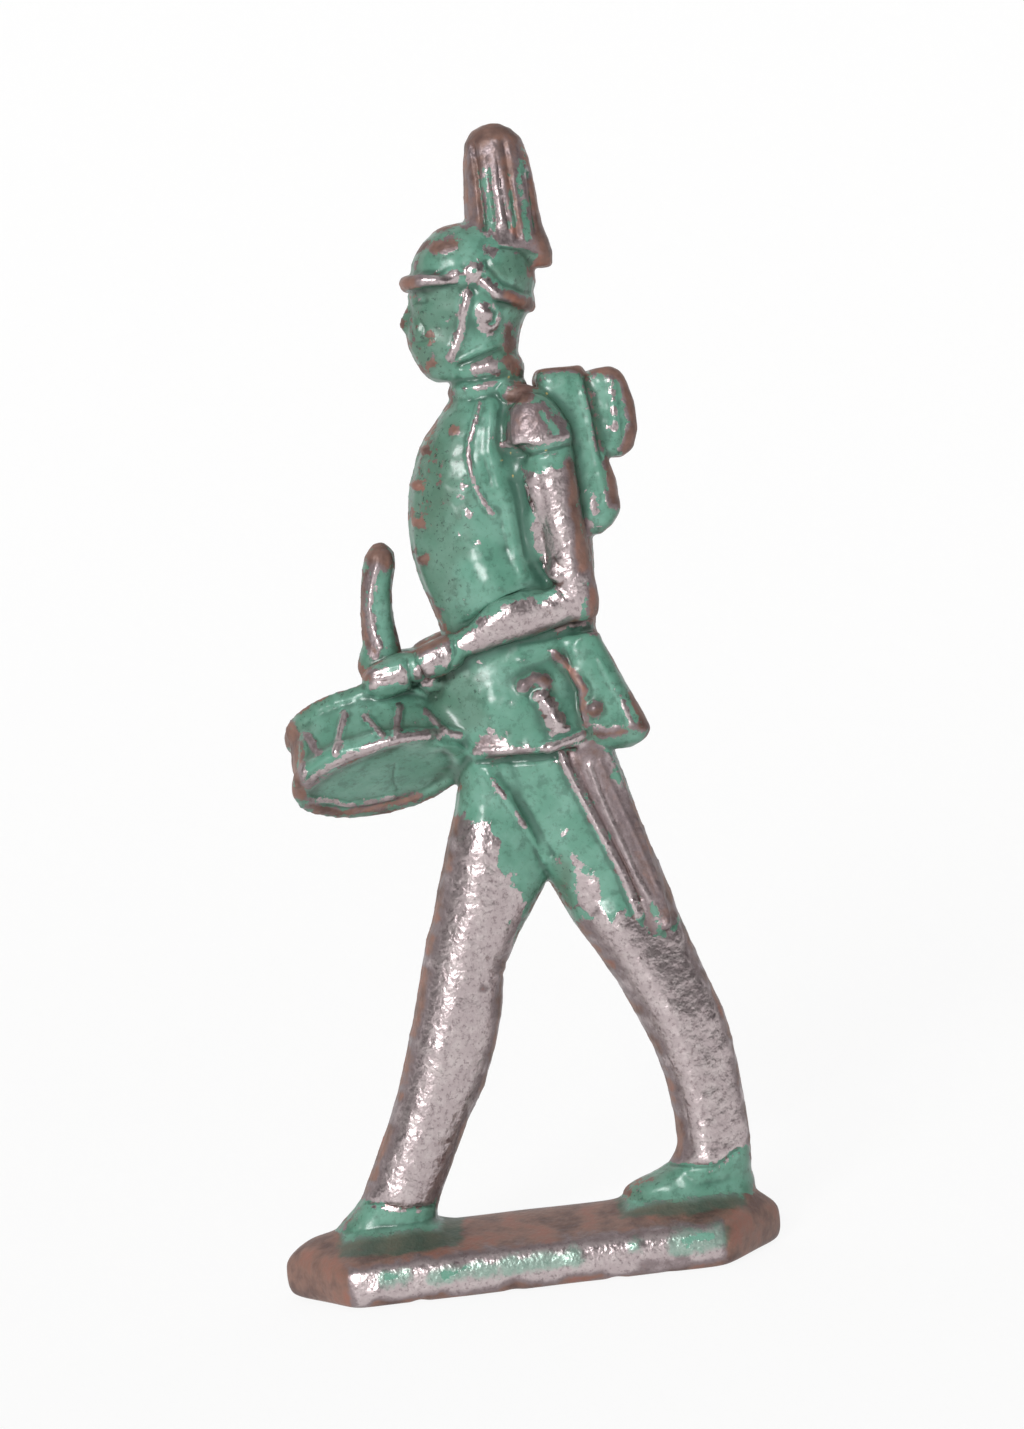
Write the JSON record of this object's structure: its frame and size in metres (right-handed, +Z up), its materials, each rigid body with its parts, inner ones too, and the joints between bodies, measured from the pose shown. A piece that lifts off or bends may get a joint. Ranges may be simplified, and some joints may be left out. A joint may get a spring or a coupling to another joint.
{
  "type": "toy drummer figure",
  "caption": "Half-round cast-metal toy drummer in mid-stride, with plumed helmet, tilted drum, knapsack and sabre, on a low base with pointed ends; worn green paint.",
  "frame": {"origin": "centre of the base's underside, where the figure stands", "axes": "+Z up; the figure marches toward -X and its near side, with the sabre, faces -Y"},
  "size_m": [0.0294, 0.01, 0.0661],
  "materials": {
    "green_paint": "glossy worn enamel over cast metal",
    "bare_metal": "bare dull lead-tin casting where the paint has gone",
    "brown_metal": "bare casting with brown tarnish"
  },
  "bodies": {
    "root": {"base_plate": "brown_metal", "front_shoe": "green_paint", "rear_shoe": "green_paint", "front_leg": "bare_metal", "rear_leg": "bare_metal", "coat_skirt": "green_paint", "sword_belt": "green_paint", "tunic": "green_paint", "tunic_buttons": "brown_metal", "coat_tails": "green_paint", "tail_buttons": "brown_metal", "collar": "green_paint", "head": "green_paint", "chin_strap": "bare_metal", "helmet_band": "green_paint", "helmet": "green_paint", "visor": "bare_metal", "helmet_bosses": "bare_metal", "plume": "brown_metal", "near_epaulette": "bare_metal", "far_epaulette": "bare_metal", "near_shoulder_tab": "brown_metal", "far_shoulder_tab": "brown_metal", "near_upper_sleeve": "bare_metal", "far_upper_sleeve": "bare_metal", "near_lower_sleeve": "bare_metal", "far_lower_sleeve": "bare_metal", "near_cuff": "bare_metal", "far_cuff": "bare_metal", "near_hand": "bare_metal", "far_hand": "bare_metal", "drumstick": "bare_metal", "drum_shell": "green_paint", "upper_hoop": "bare_metal", "lower_hoop": "bare_metal", "upper_skin": "green_paint", "lower_skin": "green_paint", "drum_cords": "brown_metal", "knapsack": "green_paint", "mess_tin": "green_paint", "near_strap": "green_paint", "far_strap": "green_paint", "scabbard": "brown_metal", "sabre_hilt": "bare_metal"}
  },
  "joints": []
}
